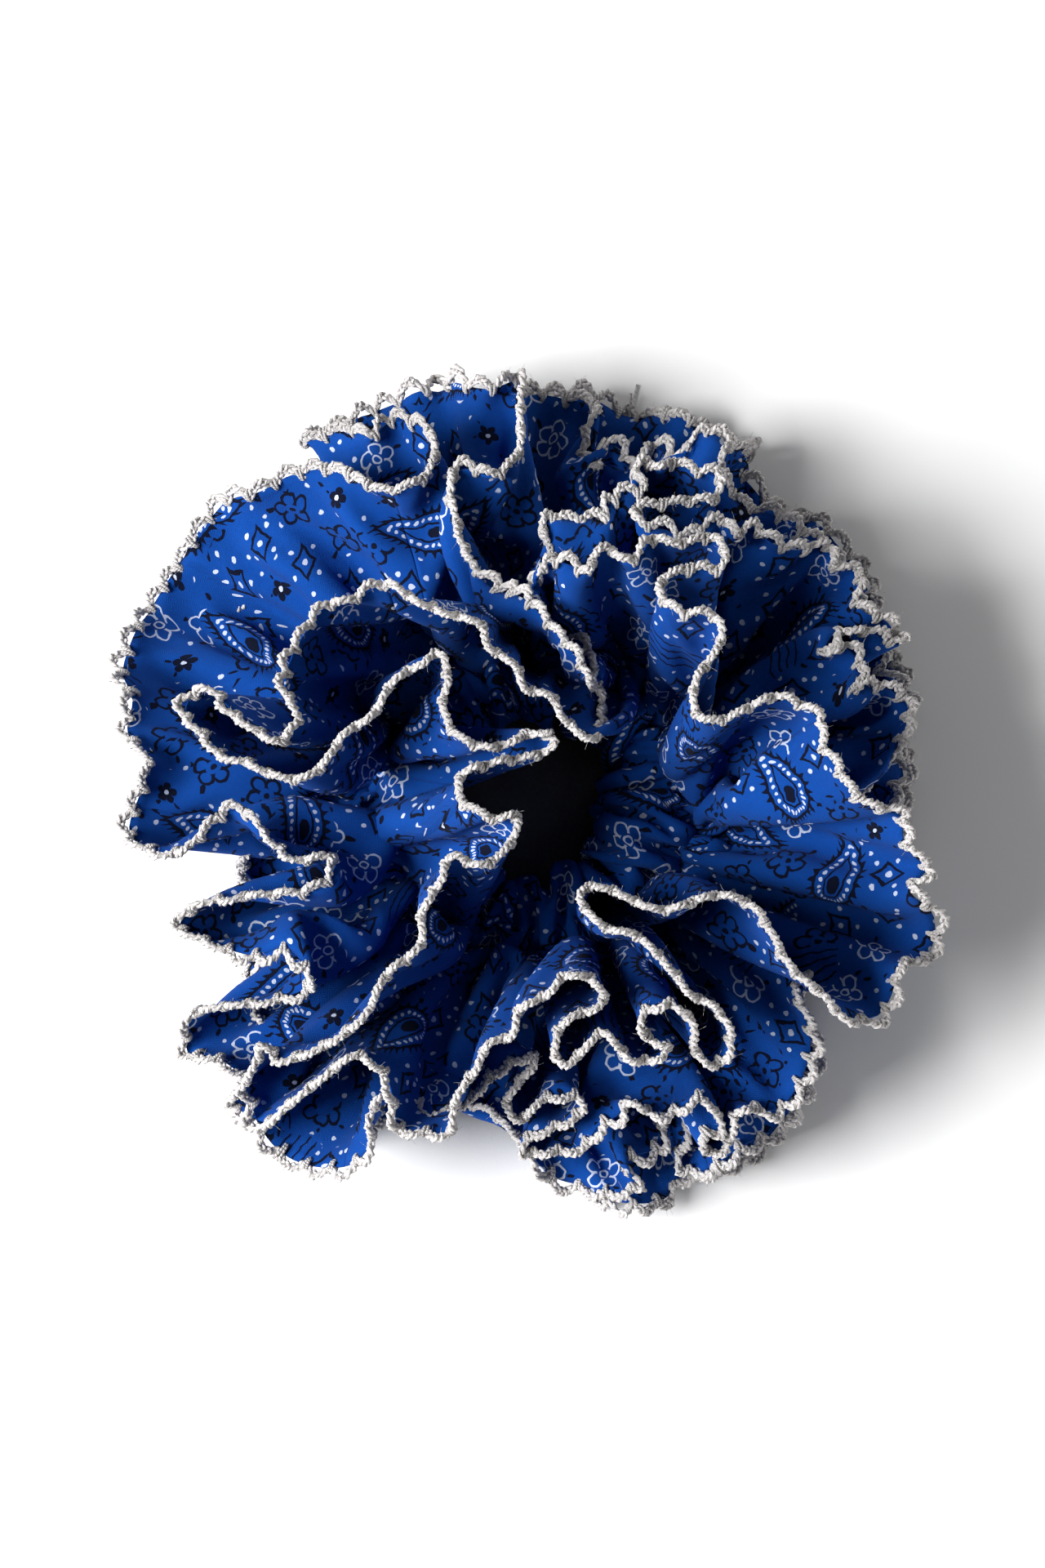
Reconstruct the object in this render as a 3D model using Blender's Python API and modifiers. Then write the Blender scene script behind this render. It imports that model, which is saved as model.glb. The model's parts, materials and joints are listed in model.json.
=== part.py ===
"""A ruffled hair scrunchie: two cotton strips folded together round a ring of elastic, with crocheted edges.

Both strips are folded along their middle, so that the fold makes a channel for the elastic and the four free
halves stand out from it as frills. One row of stitches, just outside the elastic, closes the channel. Each free
edge carries a crocheted yarn edging.

The ring is cut into equal sectors, because the elastic stretches: each sector can move straight outwards. The
ring lies flat round the Z axis, with its edging touching z = 0. All sizes are in metres.
"""

import math

import bmesh
import bpy
from mathutils import Vector

# The ring and its elastic.
SECTORS = 6
RING_RADIUS = 0.026
RING_HEIGHT = 0.017
ELASTIC_WIDTH = 0.0064
ELASTIC_THICKNESS = 0.0009
ELASTIC_OVERLAP_DEG = 22

# The cotton strips. A layer is measured from the ring's middle to the middle of the fabric.
FABRIC = 0.0006
ROW_RADIUS = 0.034
FRILL = 0.0525

# Yarn and thread.
EDGING_RADIUS = 0.0011
THREAD_RADIUS = 0.00025
STITCH_RADIUS = ROW_RADIUS - 0.0016

# Neighbours stay this far apart.
GAP = 0.0004

# The frills wave this many times in each sector, and nothing bends below the height at which the lowest edging
# rests, flattened by this much.
WAVES = 2
WAVE_GROWTH = 1.4
FLATTENED = 0.0005
REST_HEIGHT = EDGING_RADIUS - FLATTENED

# How finely the shapes are divided.
DIVISIONS = 10
FRILL_DIVISIONS = 4
CHANNEL_ANGLES = (60, 110, 155, 205, 250, 300)

# Each strip: how far it lies from the ring's middle in the channel and at the stitches, and its two frills.
# A frill leans up from level by lean degrees, and waves by wave at its free edge.
OUTER_STRIP = {
    "name": "outer_strip",
    "channel": 0.0060,
    "row": 0.0016,
    "upper": {"name": "top", "lean": 60, "wave": 0.0090},
    "lower": {"name": "bottom", "lean": -16, "wave": 0.0030},
}
INNER_STRIP = {
    "name": "inner_strip",
    "channel": 0.0048,
    "row": 0.0005,
    "upper": {"name": "upper_middle", "lean": 33, "wave": 0.0080},
    "lower": {"name": "lower_middle", "lean": 8, "wave": 0.0060},
}

BLUE_COTTON = ("blue_cotton", (0.012, 0.075, 0.34), 0.85)
WHITE_YARN = ("white_yarn", (0.78, 0.76, 0.74), 0.95)
WHITE_ELASTIC = ("white_elastic", (0.72, 0.71, 0.68), 0.8)
BLUE_THREAD = ("blue_thread", (0.02, 0.07, 0.25), 0.6)


def clear_scene():
    for obj in list(bpy.data.objects):
        bpy.data.objects.remove(obj)


def collection(name):
    made = bpy.data.collections.new(name)
    bpy.context.scene.collection.children.link(made)
    return made


def material(name, colour, roughness):
    found = bpy.data.materials.get(name)
    if found:
        return found
    made = bpy.data.materials.new(name)
    made.use_nodes = True
    shader = made.node_tree.nodes["Principled BSDF"]
    shader.inputs["Base Color"].default_value = (*colour, 1)
    shader.inputs["Roughness"].default_value = roughness
    shader.inputs["Metallic"].default_value = 0
    return made


def at(angle, radius, height):
    """The point at this angle, in radians, round the ring."""
    return Vector((radius * math.cos(angle), radius * math.sin(angle), height))


def sector_angle(sector, share):
    """The angle at a share, from 0 to 1, of the way across a sector, which stops half a gap from each neighbour."""
    half = math.pi / SECTORS - math.asin(GAP / 2 / (RING_RADIUS - OUTER_STRIP["channel"]))
    return sector * math.tau / SECTORS + (2 * share - 1) * half


def frill_point(strip, side, angle, along):
    """The point on a frill at a distance along it from the stitches."""
    frill = strip[side]
    lean = math.radians(frill["lean"])
    start = strip["row"] if side == "upper" else -strip["row"]
    wave = frill["wave"] * (along / FRILL) ** WAVE_GROWTH * math.sin(WAVES * SECTORS * angle)
    radius = ROW_RADIUS + along * math.cos(lean) - wave * math.sin(lean)
    height = RING_HEIGHT + start + along * math.sin(lean) + wave * math.cos(lean)
    return at(angle, radius, max(height, REST_HEIGHT))


def channel_point(strip, angle, turn, offset=0.0):
    """The point on the round part of the channel, turned by turn degrees from outwards over the top."""
    reach = strip["channel"] + offset
    turn = math.radians(turn)
    return at(angle, RING_RADIUS + reach * math.cos(turn), RING_HEIGHT + reach * math.sin(turn))


def sheet(name, home, look, points, thickness):
    """A sheet through rows of points, made a solid of this thickness, with the points at its middle."""
    rows, columns = len(points), len(points[0])
    mesh = bpy.data.meshes.new(name)
    shape = bmesh.new()
    bmesh.ops.create_grid(shape, x_segments=columns - 1, y_segments=rows - 1, size=1)
    shape.verts.ensure_lookup_table()
    for vert, point in zip(shape.verts, (p for row in points for p in row)):
        vert.co = point
    shape.to_mesh(mesh)
    shape.free()
    mesh.shade_smooth()
    mesh.materials.append(material(*look))
    obj = bpy.data.objects.new(name, mesh)
    home.objects.link(obj)
    solid = obj.modifiers.new("thickness", "SOLIDIFY")
    solid.thickness = thickness
    solid.offset = 0
    return obj


def cord(name, home, look, points, radius):
    """A round cord through the points, with closed ends."""
    curve = bpy.data.curves.new(name, "CURVE")
    curve.dimensions = "3D"
    curve.bevel_depth = radius
    curve.bevel_resolution = 1
    curve.use_fill_caps = True
    line = curve.splines.new("POLY")
    line.points.add(len(points) - 1)
    for place, point in zip(line.points, points):
        place.co = (*point, 1)
    curve.materials.append(material(*look))
    obj = bpy.data.objects.new(name, curve)
    home.objects.link(obj)
    return obj


def as_mesh(obj, home):
    """The curve object as a closed mesh object of the same name."""
    graph = bpy.context.evaluated_depsgraph_get()
    mesh = bpy.data.meshes.new_from_object(obj.evaluated_get(graph))
    shape = bmesh.new()
    shape.from_mesh(mesh)
    bmesh.ops.remove_doubles(shape, verts=shape.verts, dist=1e-6)
    bmesh.ops.recalc_face_normals(shape, faces=shape.faces)
    shape.to_mesh(mesh)
    shape.free()
    name, place = obj.name, obj.matrix_world.copy()
    bpy.data.objects.remove(obj)
    made = bpy.data.objects.new(name, mesh)
    made.matrix_world = place
    home.objects.link(made)
    return made


def table_cutter(home):
    """A slab with its top at z = 0, which takes off what would lie below the table."""
    reach, depth = 4 * ROW_RADIUS, 0.01
    bpy.ops.mesh.primitive_cube_add(size=1, location=(0, 0, -depth / 2))
    slab = bpy.context.object
    slab.name = "table_cutter"
    slab.scale = (2 * reach, 2 * reach, depth)
    bpy.ops.object.transform_apply(location=False, rotation=False, scale=True)
    for owner in list(slab.users_collection):
        owner.objects.unlink(slab)
    home.objects.link(slab)
    slab.hide_render = True
    slab.display_type = "WIRE"
    return slab


def across(sector):
    return [sector_angle(sector, step / DIVISIONS) for step in range(DIVISIONS + 1)]


def build_strip(strip, sector, home):
    """One sector of a folded strip: its upper frill, round the channel, and out along its lower frill."""
    sheet_end = FRILL - EDGING_RADIUS - GAP
    steps = [sheet_end * step / FRILL_DIVISIONS for step in range(FRILL_DIVISIONS + 1)]
    angles = across(sector)
    rows = [[frill_point(strip, "upper", a, along) for a in angles] for along in reversed(steps)]
    rows += [[channel_point(strip, a, turn) for a in angles] for turn in CHANNEL_ANGLES]
    rows += [[frill_point(strip, "lower", a, along) for a in angles] for along in steps]
    return sheet(f"{strip['name']}_{sector + 1}", home, BLUE_COTTON, rows, FABRIC)


def build_edging(strip, side, sector, home, table):
    """The crocheted yarn along one frill's free edge. The lowest one is flattened where it rests."""
    points = [frill_point(strip, side, a, FRILL) for a in across(sector)]
    name = f"{strip[side]['name']}_edging_{sector + 1}"
    if strip[side]["name"] != "bottom":
        return cord(name, home, WHITE_YARN, points, EDGING_RADIUS)
    obj = as_mesh(cord(name, home, WHITE_YARN, points, EDGING_RADIUS), home)
    flatten = obj.modifiers.new("table", "BOOLEAN")
    flatten.operation = "DIFFERENCE"
    flatten.object = table
    return obj


def build_elastic(sector, home):
    half = ELASTIC_WIDTH / 2
    heights = (RING_HEIGHT - half, RING_HEIGHT + half)
    rows = [[at(a, RING_RADIUS, height) for a in across(sector)] for height in heights]
    return sheet(f"elastic_band_{sector + 1}", home, WHITE_ELASTIC, rows, ELASTIC_THICKNESS)


def build_channel_stitches(sector, home):
    """The row of stitches that closes the channel, lying on the upper layer beside the foot of the top frill."""
    share = (ROW_RADIUS - STITCH_RADIUS) / (ROW_RADIUS - RING_RADIUS)
    shoulder = channel_point(OUTER_STRIP, 0, CHANNEL_ANGLES[0]).z - RING_HEIGHT
    rise = OUTER_STRIP["row"] + share * (shoulder - OUTER_STRIP["row"])
    height = RING_HEIGHT + rise + FABRIC + GAP + THREAD_RADIUS
    points = [at(a, STITCH_RADIUS, height) for a in across(sector)]
    return cord(f"channel_stitching_{sector + 1}", home, BLUE_THREAD, points, THREAD_RADIUS)


def join_angles(steps):
    """Angles from the start of the first sector over the elastic's overlap."""
    start = sector_angle(0, 0)
    return [start + math.radians(ELASTIC_OVERLAP_DEG) * step / steps for step in range(steps + 1)]


def build_elastic_tail(home):
    """The elastic's far end, which lies over its near end where the two are sewn together."""
    radius = RING_RADIUS + ELASTIC_THICKNESS + GAP
    half = ELASTIC_WIDTH / 2
    heights = (RING_HEIGHT - half, RING_HEIGHT + half)
    rows = [[at(a, radius, height) for a in join_angles(6)] for height in heights]
    return sheet("elastic_overlap_end", home, WHITE_ELASTIC, rows, ELASTIC_THICKNESS)


def build_elastic_stitches(home):
    """The zigzag that holds the elastic's two ends together, on the outside of the overlap."""
    radius = RING_RADIUS + 1.5 * ELASTIC_THICKNESS + 2 * GAP + THREAD_RADIUS
    reach = 0.3 * ELASTIC_WIDTH
    points = [
        at(a, radius, RING_HEIGHT + (reach if step % 2 else -reach))
        for step, a in enumerate(join_angles(10)[1:-1])
    ]
    return cord("elastic_join_stitching", home, BLUE_THREAD, points, THREAD_RADIUS)


def build_closing_stitches(home):
    """The hand stitches that close the strips' ends, on the side of the channel that faces the hair."""
    start = sector_angle(0, 0) + math.radians(1)
    lift = FABRIC / 2 + GAP + THREAD_RADIUS
    points = [channel_point(OUTER_STRIP, start, turn, lift) for turn in CHANNEL_ANGLES[1:-1]]
    return cord("closing_stitching", home, BLUE_THREAD, points, THREAD_RADIUS)


def build():
    clear_scene()
    home, cutters = collection("scrunchie"), collection("cutters")
    table = table_cutter(cutters)
    for sector in range(SECTORS):
        build_elastic(sector, home)
        build_channel_stitches(sector, home)
        for strip in (OUTER_STRIP, INNER_STRIP):
            build_strip(strip, sector, home)
            for side in ("upper", "lower"):
                build_edging(strip, side, sector, home, table)
    build_elastic_tail(home)
    build_elastic_stitches(home)
    build_closing_stitches(home)


build()
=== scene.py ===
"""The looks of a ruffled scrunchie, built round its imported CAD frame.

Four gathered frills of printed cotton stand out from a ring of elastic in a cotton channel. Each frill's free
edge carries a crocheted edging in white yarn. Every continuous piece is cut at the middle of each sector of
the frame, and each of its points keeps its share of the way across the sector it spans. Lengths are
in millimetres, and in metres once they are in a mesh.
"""

import json
import math

import bpy
import numpy as np
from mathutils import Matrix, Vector

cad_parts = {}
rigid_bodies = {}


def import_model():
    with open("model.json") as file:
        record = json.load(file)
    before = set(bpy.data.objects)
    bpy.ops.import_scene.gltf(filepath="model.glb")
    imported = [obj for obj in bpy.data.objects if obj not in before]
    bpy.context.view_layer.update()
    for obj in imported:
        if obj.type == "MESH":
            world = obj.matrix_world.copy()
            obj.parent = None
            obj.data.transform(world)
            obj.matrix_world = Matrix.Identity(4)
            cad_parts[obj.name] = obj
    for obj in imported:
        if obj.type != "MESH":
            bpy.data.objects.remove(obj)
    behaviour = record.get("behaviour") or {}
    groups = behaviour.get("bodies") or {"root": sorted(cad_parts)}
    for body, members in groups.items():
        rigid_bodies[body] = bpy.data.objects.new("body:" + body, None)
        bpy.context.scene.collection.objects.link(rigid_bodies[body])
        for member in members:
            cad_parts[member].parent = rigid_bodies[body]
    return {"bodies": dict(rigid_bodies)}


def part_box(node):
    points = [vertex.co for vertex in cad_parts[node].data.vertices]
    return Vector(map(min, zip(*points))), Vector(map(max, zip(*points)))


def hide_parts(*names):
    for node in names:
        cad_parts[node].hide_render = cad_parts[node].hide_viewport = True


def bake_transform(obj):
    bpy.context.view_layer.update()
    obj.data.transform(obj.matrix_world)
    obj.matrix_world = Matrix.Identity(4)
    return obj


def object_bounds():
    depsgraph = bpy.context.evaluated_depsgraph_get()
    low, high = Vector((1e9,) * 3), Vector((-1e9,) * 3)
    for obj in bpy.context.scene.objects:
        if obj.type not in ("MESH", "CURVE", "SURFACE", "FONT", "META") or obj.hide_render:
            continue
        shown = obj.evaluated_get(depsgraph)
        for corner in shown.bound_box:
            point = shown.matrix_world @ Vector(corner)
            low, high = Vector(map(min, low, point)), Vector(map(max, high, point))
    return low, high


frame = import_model()
CAD_BOX = [list(corner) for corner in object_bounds()]

MM = 0.001
SEED = 7

# ---- Places taken from the frame, in millimetres ----

SECTORS = sum(name.startswith("sector_") for name in frame["bodies"])
band_low, band_high = (np.array(corner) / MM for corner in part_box("elastic_band_1"))
RING_RADIUS = band_high[0]
RING_HEIGHT = (band_low[2] + band_high[2]) / 2
ELASTIC_HALF = (band_high[2] - band_low[2]) / 2
STITCH_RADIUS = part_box("channel_stitching_1")[1][0] / MM
ROW_RADIUS = STITCH_RADIUS + 1.4  # the layers turn outwards just beyond the stitches
FLOOR = CAD_BOX[0][2] / MM

# ---- The cotton and its frills ----

FRILL = 60.0
REACH = 0.985 * FRILL
CLOTH = 0.36
COLUMN = 1.5
ROWS = 34
PLEAT = 11.0
ARCH = 5.7
YARN = 0.46
TIE_YARN = 0.34
TAIL_YARN = 0.32
FIBRE = 0.032
THREAD = 0.2
PLAIT = 3.8
FIBRES = 0.22
EDGE_LIFT = 2.2
CLOTH_LIFT = 1.0
ELASTIC_THICKNESS = 0.9
OVERLAP = 330.8, 352
ZIGZAG = 333, 350
CLOSING_ANGLE = math.radians(331.8)
TAIL_ANGLE = math.radians(77)
SETTLING = 300
CHANNEL_COLUMNS = 440
CHANNEL_COLUMN = 0.80
CHANNEL_ROWS = 32
HAIR_RADIUS = 12.0

# Each frill's free edge, seen from above, anticlockwise: its folds' turning points, as x, y from the ring's
# middle, and a height only where a fold is pressed down or held up.
# These tables break the rules for this script. Most points of the top and upper middle edges, and a few of
# the others, were traced from the photograph and made into millimetres by a separate program.
TOP_EDGE = [
    (12, 5), (6, 9), (3, 14), (-2, 15), (-4, 20), (-9, 23), (-11, 28), (-17, 30), (-24, 33), (-31, 36),
    (-38, 33), (-43, 32), (-47, 27), (-50, 21), (-51, 15), (-48, 10), (-49, 6), (-52, 4), (-57, 7),
    (-62, 11), (-66, 16), (-71, 15), (-72, 12), (-67, 6), (-64, 2), (-58, 0), (-55, -2), (-47, -4),
    (-42, 0), (-39, 5), (-33, 9), (-29, 16), (-23, 20), (-20, 22), (-18, 17), (-19, 11), (-16, 5),
    (-9, 3), (-3, 6), (3, 6), (2, 3), (-8, 0), (-15, -3), (-16, -7), (-9, -12), (-4, -11), (-5, -17),
    (-11, -22), (-17, -20), (-20, -26), (-23, -31), (-23, -38), (-30, -44), (-34, -51), (-43, -57),
    (-52, -59), (-55, -56), (-58, -61), (-63, -65), (-68, -67), (-61, -70), (-56, -71), (-51, -68),
    (-43, -63), (-36, -59), (-31, -62), (-29, -67), (-28, -73), (-23, -74), (-17, -74), (-16, -68),
    (-12, -62), (-9, -57), (-5, -56), (-3, -50), (2, -48), (6, -44), (10, -44), (14, -48), (11, -51),
    (7, -52), (4, -56), (4, -60), (7, -61), (10, -58), (14, -55), (19, -60), (24, -60), (27, -57),
    (23, -56), (21, -54), (21, -52), (26, -49), (31, -52), (32, -58), (36, -61), (39, -58), (39, -54),
    (35, -49), (32, -48), (27, -42), (20, -36), (15, -35), (11, -32), (9, -28), (11, -26), (16, -27),
    (22, -30), (27, -31), (35, -28), (40, -28), (45, -31), (48, -36), (52, -42), (58, -46), (63, -50),
    (71, -49), (74, -44), (75, -39), (82, -36), (83, -28), (77, -24), (81, -19), (76, -15), (75, -9),
    (68, -8), (64, -5), (61, 0), (58, 4), (58, 9), (53, 12), (48, 13), (44, 11), (38, 8), (34, 8),
    (32, 11), (33, 17), (36, 21), (38, 26), (36, 30), (30, 30), (26, 33), (25, 36), (29, 39), (34, 40),
    (38, 40), (39, 44), (36, 47), (32, 46), (28, 45), (24, 46), (21, 42), (18, 41), (15, 44), (12, 42),
    (11, 38), (8, 40), (4, 41), (0, 38, 52), (2, 32, 46), (7, 26, 46), (12, 20, 48), (14, 12, 54),
]
UPPER_MIDDLE_EDGE = [
    (-82, 0), (-85, -10), (-75, -15), (-69, -12), (-62, -7), (-53, -15), (-48, -18), (-41, -18),
    (-43, -23), (-48, -25), (-60, -25), (-69, -26), (-74, -30), (-67, -34), (-58, -37), (-51, -36),
    (-46, -43), (-53, -46), (-65, -47), (-71, -48), (-73, -55), (-66, -57), (-60, -62), (-58, -70),
    (-53, -76), (-46, -79), (-38, -79), (-34, -75), (-33, -68), (-27, -65), (-22, -69), (-15, -68),
    (-9, -62), (-4, -59), (0, -58), (-3, -63), (-6, -67), (-3, -71), (1, -67), (8, -66), (10, -68),
    (7, -71), (-1, -74), (-3, -77), (3, -77), (10, -76), (13, -72), (17, -70), (19, -67), (23, -69),
    (28, -69), (34, -66), (38, -70), (38, -73), (35, -73), (34, -76), (39, -76), (42, -68), (50, -68),
    (55, -62), (57, -54), (54, -45), (58, -38, 26), (66, -34, 22), (73, -30, 22), (69, -24, 22),
    (72, -16, 22), (66, -10, 22), (68, 0, 28), (76, 8), (78, 17), (71, 20), (66, 18), (68, 22),
    (67, 26), (64, 28), (60, 26), (63, 31), (69, 32), (77, 30), (74, 35), (70, 36), (67, 39), (69, 43),
    (67, 46), (63, 46), (62, 51), (55, 49), (50, 50), (45, 54), (42, 51), (39, 55), (31, 50), (28, 52),
    (22, 53), (21, 56), (27, 58), (33, 59), (37, 59), (39, 62), (39, 65), (34, 66), (29, 68), (26, 66),
    (23, 68), (21, 64), (23, 61), (19, 60), (15, 57), (15, 53), (13, 54), (7, 54), (2, 54), (2, 50),
    (4, 46, 50), (5, 38, 48), (8, 30, 50), (12, 23, 54), (12, 17, 58), (8, 23, 62), (3, 29, 62),
    (-2, 35, 60), (-9, 39), (-13, 44), (-16, 53), (-18, 60), (-17, 65), (-14, 66), (-9, 64), (-4, 68),
    (-3, 80), (-3, 90), (-9, 87), (-14, 88), (-20, 92), (-25, 90), (-31, 89), (-38, 86), (-46, 82),
    (-50, 77), (-45, 78), (-39, 78), (-35, 75), (-31, 79), (-24, 77), (-21, 72), (-22, 66), (-26, 62),
    (-33, 62), (-39, 66), (-46, 68), (-53, 67), (-59, 64), (-67, 64), (-73, 58), (-79, 52), (-84, 43),
    (-86, 35), (-88, 27), (-85, 19), (-86, 12), (-81, 5),
]
LOWER_MIDDLE_EDGE = [
    (-71, 7), (-66, 3), (-60, -2), (-58, -9), (-62, -15), (-57, -21), (-60, -29), (-58, -36),
    (-60, -42), (-56, -49), (-58, -55), (-54, -62), (-52, -70), (-45, -73), (-38, -70), (-29, -66),
    (-20, -65), (-12, -66), (-6, -70), (3, -80), (10, -82), (17, -84), (22, -82), (19, -79), (18, -76),
    (22, -76), (26, -74), (27, -68), (27, -63), (31, -64), (32, -71), (30, -78), (36, -79), (44, -74),
    (51, -70), (56, -63), (59, -54), (56, -45), (56, -38), (62, -32), (72, -28), (74, -20), (78, -12),
    (74, -4), (78, 6), (76, 14), (80, 22), (74, 28), (76, 36), (70, 40), (66, 47), (64, 54), (58, 58),
    (52, 62), (46, 64), (42, 68), (40, 73), (42, 77), (37, 80), (34, 78), (30, 74), (27, 78), (23, 76),
    (21, 72), (19, 76), (15, 78), (12, 72), (10, 79), (14, 85), (8, 89), (0, 90), (-8, 84), (-16, 86),
    (-24, 81), (-30, 76), (-38, 72), (-42, 65), (-50, 63, 12), (-52, 55, 12), (-60, 52, 12),
    (-62, 43, 12), (-69, 39, 12), (-67, 31, 12), (-73, 24, 12), (-70, 15, 14),
]
BOTTOM_EDGE = [
    (-72, 6), (-65, 0), (-60, -8), (-63, -17), (-58, -25), (-62, -33), (-58, -40), (-60, -48),
    (-54, -55), (-52, -63), (-46, -68), (-38, -70), (-30, -65), (-21, -63), (-12, -64), (-3, -67),
    (6, -76), (11, -81), (18, -85), (28, -84), (30, -80), (36, -79), (42, -77), (50, -71), (56, -62),
    (59, -52), (55, -42), (58, -33), (66, -29), (74, -25), (78, -16), (78, -4), (80, 8), (78, 20),
    (80, 30), (74, 40), (73, 49), (70, 56), (66, 59), (61, 65), (54, 67), (49, 70), (45, 75), (48, 80),
    (40, 84), (33, 88), (26, 89), (19, 90), (11, 93), (4, 91), (-4, 92), (-14, 88), (-26, 86),
    (-35, 79), (-44, 73), (-53, 66), (-59, 57), (-67, 49), (-72, 38), (-76, 28), (-76, 16),
]

# How high each frill stands, as a share of the height it could reach, its free edge's waves (how high, how
# many, where they start), how high it leaves the row of stitches, and how far its middle bulges.
FRILLS = {
    "top": {"edge": TOP_EDGE, "lift": 0.86, "waves": (0, 1, 0), "start": 1.6, "bulge": 0.10},
    "upper_middle": {
        "edge": UPPER_MIDDLE_EDGE, "lift": 0.60, "waves": (0, 1, 0), "start": 0.5, "bulge": 0.09},
    "lower_middle": {
        "edge": LOWER_MIDDLE_EDGE, "lift": 0.10, "waves": (3.0, 23, 1.0), "start": -0.5, "bulge": 0.06},
    "bottom": {"edge": BOTTOM_EDGE, "lift": None, "waves": (3.4, 27, 0), "start": -1.6, "bulge": 0.0},
}

STEP = math.tau / SECTORS
GATHERS = 82


def unit(vectors):
    return vectors / np.maximum(np.linalg.norm(vectors, axis=-1, keepdims=True), 1e-9)


def around(angles, radius, height):
    """Points in millimetres at these angles round the ring."""
    parts = radius * np.cos(angles), radius * np.sin(angles), height + 0 * angles
    return np.stack(parts, axis=-1)


def resampled(curve, spacing):
    """A closed curve's points, moved to be evenly spaced along it."""
    ends = np.vstack([curve, curve[:1]])
    length = np.concatenate([[0], np.cumsum(np.linalg.norm(np.diff(ends, axis=0), axis=1))])
    count = int(round(length[-1] / spacing))
    places = np.arange(count) * length[-1] / count
    return np.stack([np.interp(places, length, ends[:, axis]) for axis in range(curve.shape[1])], axis=1)


def closed_curve(points, spacing):
    """Evenly spaced points on a smooth closed curve through the points, a centripetal Catmull-Rom spline."""
    before, after = np.roll(points, 1, axis=0), np.roll(points, -1, axis=0)
    later = np.roll(points, -2, axis=0)
    knots = [np.zeros(len(points))]
    for first, second in ((before, points), (points, after), (after, later)):
        knots.append(knots[-1] + np.sqrt(np.linalg.norm(second - first, axis=1)))
    t0, t1, t2, t3 = (knot[:, None] for knot in knots)
    fine = []
    for share in np.linspace(0, 1, 12, endpoint=False):
        t = t1 + (t2 - t1) * share
        a1 = ((t1 - t) * before + (t - t0) * points) / (t1 - t0)
        a2 = ((t2 - t) * points + (t - t1) * after) / (t2 - t1)
        a3 = ((t3 - t) * after + (t - t2) * later) / (t3 - t2)
        b1 = ((t2 - t) * a1 + (t - t0) * a2) / (t2 - t0)
        b2 = ((t3 - t) * a2 + (t - t1) * a3) / (t3 - t1)
        fine.append(((t2 - t) * b1 + (t - t1) * b2) / (t2 - t1))
    return resampled(np.stack(fine, axis=1).reshape(-1, points.shape[1]), spacing)


def smoothed(values, width):
    """A closed row of values, blurred along itself by a Gaussian of this many steps."""
    half = int(3 * width)
    weights = np.exp(-0.5 * (np.arange(-half, half + 1) / width) ** 2)
    weights /= weights.sum()
    ringed = np.take(values, np.arange(-half, len(values) + half), axis=0, mode="wrap")
    columns = ringed.reshape(len(ringed), -1).T
    blurred = [np.convolve(column, weights, "valid") for column in columns]
    return np.stack(blurred, axis=1).reshape(values.shape)


def wander(random, count, width):
    """A closed row of values that drifts smoothly about 0 with a spread of 1."""
    values = smoothed(random.normal(size=count), width)
    return values / values.std()


class Gathers:
    """The folds that the stitches draw every layer into, the same for each so that they lie in each other."""

    def __init__(self, random):
        count = 2048
        self.angles = np.linspace(0, math.tau, count + 1)
        self.drift = np.append(wander(random, count, 40), 0)
        self.depth = 1 + 0.35 * np.append(wander(random, count, 22), 0)
        self.puff = np.append(wander(random, count, 90), 0)
        for row in (self.drift, self.depth, self.puff):
            row[-1] = row[0]

    def at(self, angles, row):
        return np.interp(angles % math.tau, self.angles, row)

    def fold(self, angles, count=GATHERS, turn=0.0):
        phase = count * angles + 2.2 * self.at(angles, self.drift) + turn
        return np.sin(phase) * self.at(angles, self.depth)


def gathered_angles(curve):
    """The angle round the ring at which each column of a frill is stitched down, always growing."""
    angles = np.unwrap(np.arctan2(curve[:, 1], curve[:, 0]))
    count = len(angles)
    even = np.arange(count) * math.tau / count
    angles = even + smoothed(angles - even, 26 / COLUMN)
    growth = np.diff(np.append(angles, angles[0] + math.tau))
    growth = smoothed(np.maximum(growth, 0.22 * math.tau / count), 6 / COLUMN)
    growth *= math.tau / growth.sum()
    return angles[0] + np.concatenate([[0], np.cumsum(growth[:-1])])


def edge_heights(curve, frill):
    """How high the free edge stands at each of its points, where nothing presses on it."""
    height, number, start = frill["waves"]
    turn = np.arctan2(curve[:, 1], curve[:, 0])
    waves = height * (np.sin(number * turn + start) + 0.47 * np.sin(11 * turn + 2))
    if frill["lift"] is None:
        return FLOOR + 6.4 + waves
    away = np.clip(np.abs(np.hypot(curve[:, 0], curve[:, 1]) - ROW_RADIUS), 0, FRILL)
    return RING_HEIGHT + frill["lift"] * np.sqrt(FRILL**2 - away**2) + waves


def frill_edge(frill):
    """The free edge in space, and the angle at which each of its columns is gathered."""
    marks = np.array([point[:2] for point in frill["edge"]], float)
    natural = edge_heights(marks, frill)
    held = [point[2] - usual if len(point) > 2 else 0 for point, usual in zip(frill["edge"], natural)]
    curve = closed_curve(np.column_stack([marks, held]), COLUMN)
    angles = gathered_angles(curve)
    edge = np.column_stack([curve[:, :2], edge_heights(curve, frill) + curve[:, 2]])
    base = around(angles, ROW_RADIUS, RING_HEIGHT + frill["start"])
    reach = edge - base
    edge = base + reach * np.minimum(1, REACH / np.linalg.norm(reach, axis=1))[:, None]
    return lifted(edge, EDGE_LIFT), angles


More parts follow.
